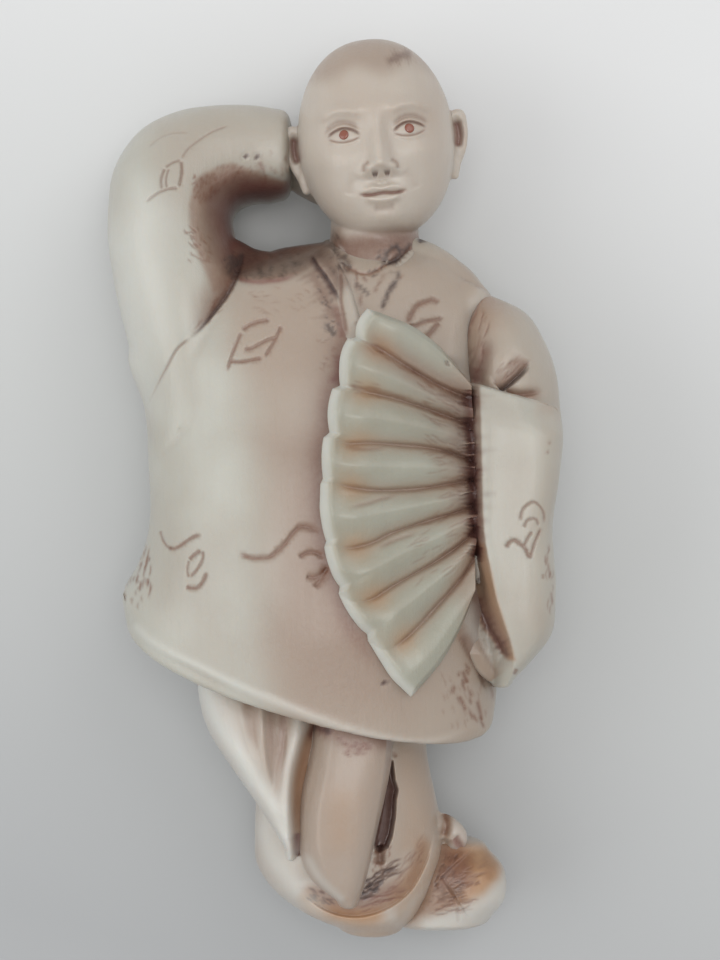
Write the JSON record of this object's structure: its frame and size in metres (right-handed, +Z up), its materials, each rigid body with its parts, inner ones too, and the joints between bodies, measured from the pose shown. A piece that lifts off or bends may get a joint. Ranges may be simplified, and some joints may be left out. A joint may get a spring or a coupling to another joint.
{
  "type": "carved figure netsuke",
  "caption": "Small carved ivory toggle figure: a robed bald man lying on his back, one arm raised behind his head, the other hand holding an open pleated fan.",
  "frame": {"origin": "On the surface that the figure's back rests on, below the middle of the whole figure", "axes": "+Y from the feet to the head along the figure, +X to the right of someone looking down at the face, +Z up out of the figure's front"},
  "size_m": [0.0283, 0.056, 0.0181],
  "materials": {
    "ivory_robe": "hand-polished ivory, semi-gloss, brown stain in the cut lines",
    "ivory_skin": "hand-polished ivory, semi-gloss, reddish stain in the hollows",
    "ivory_fan": "hand-polished ivory, semi-gloss, yellowed at the rim, brown in the folds",
    "ivory_skirt": "hand-polished ivory, semi-gloss, orange-brown stain in the folds",
    "horn_inlay": "polished reddish horn"
  },
  "bodies": {
    "root": {"robe": "ivory_robe", "raised_sleeve": "ivory_robe", "upper_sleeve": "ivory_robe", "hanging_sleeve": "ivory_robe", "collar": "ivory_robe", "head": "ivory_skin", "raised_hand": "ivory_skin", "lowered_thumb": "ivory_skin", "pupil_left": "horn_inlay", "pupil_right": "horn_inlay", "fan": "ivory_fan", "skirt_wrap": "ivory_skirt", "skirt_panel": "ivory_skirt", "underskirt": "ivory_skirt", "foot": "ivory_skirt"}
  },
  "joints": []
}
